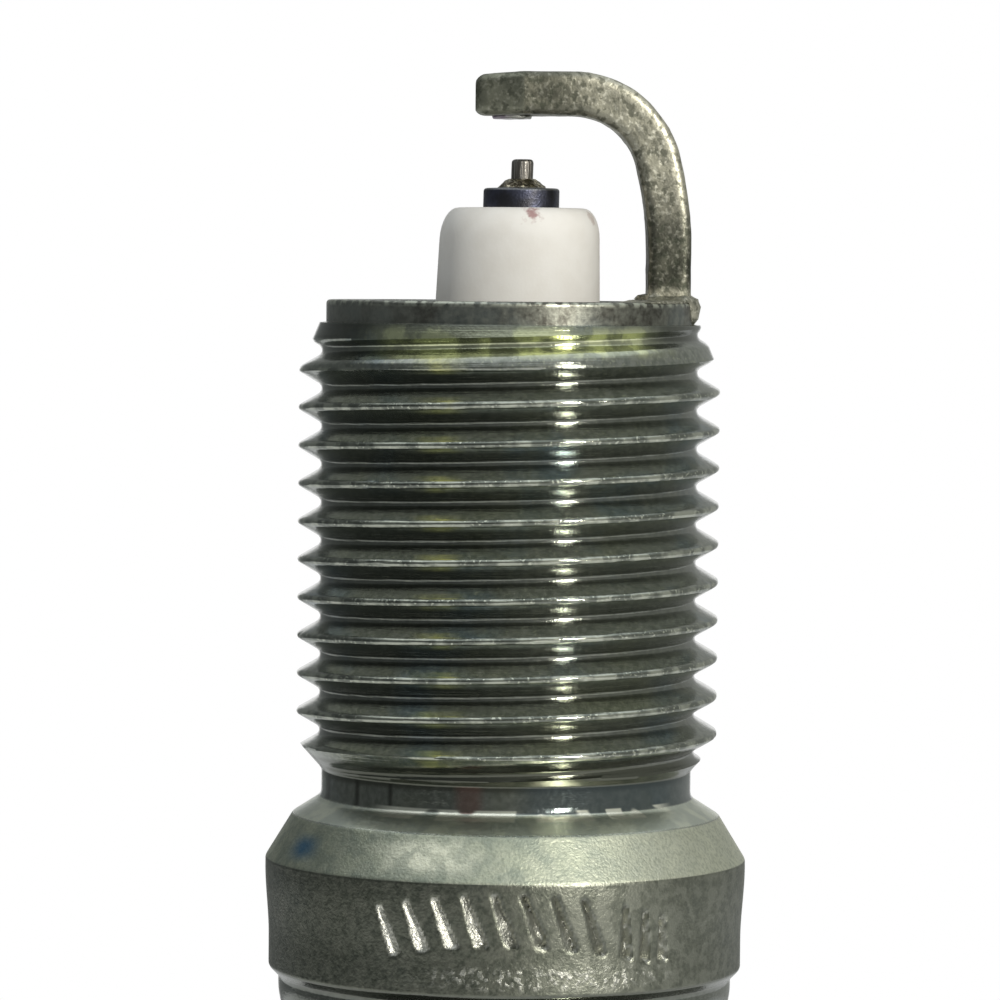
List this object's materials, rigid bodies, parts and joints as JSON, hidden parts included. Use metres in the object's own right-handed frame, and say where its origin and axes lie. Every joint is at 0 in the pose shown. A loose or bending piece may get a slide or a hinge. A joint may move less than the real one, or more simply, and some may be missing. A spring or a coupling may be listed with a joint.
{
  "type": "spark plug",
  "caption": "Spark plug with a conical seat, long metric thread, fine-wire centre electrode, bent ground strap, hexagon, ribbed ceramic insulator and screw-on terminal nut.",
  "frame": {"origin": "on the plug's axis, in the gauge plane of the conical seat", "axes": "+Z along the axis to the firing end, +X to the side where the ground strap is welded"},
  "size_m": [0.0184, 0.016, 0.0777],
  "materials": {
    "shell_steel": "satin",
    "ceramic": "satin",
    "washer_steel": "satin",
    "packing_steel": "satin",
    "talc": "matte",
    "nickel": "satin",
    "strap_nickel": "satin",
    "copper": "polished",
    "precious_metal": "satin",
    "fired_glass": "matte",
    "resistor_body": "matte",
    "stud_steel": "satin",
    "terminal_plating": "satin"
  },
  "bodies": {
    "plug": {"shell": "shell_steel", "insulator": "ceramic", "seat_washer": "washer_steel", "front_packing_ring": "packing_steel", "talc_fill": "talc", "rear_packing_ring": "packing_steel", "centre_electrode": "nickel", "copper_core": "copper", "electrode_tip": "precious_metal", "ground_strap": "strap_nickel", "ground_pad": "precious_metal", "front_glass_seal": "fired_glass", "resistor": "resistor_body", "rear_glass_seal": "fired_glass", "terminal_stud": "stud_steel"},
    "nut": {"terminal_nut": "terminal_plating"}
  },
  "joints": [
    {"name": "nut_removal", "type": "slide", "parent": "plug", "child": "nut", "axis": [0, 0, -1], "range_m": [0, 0.0085]}
  ]
}
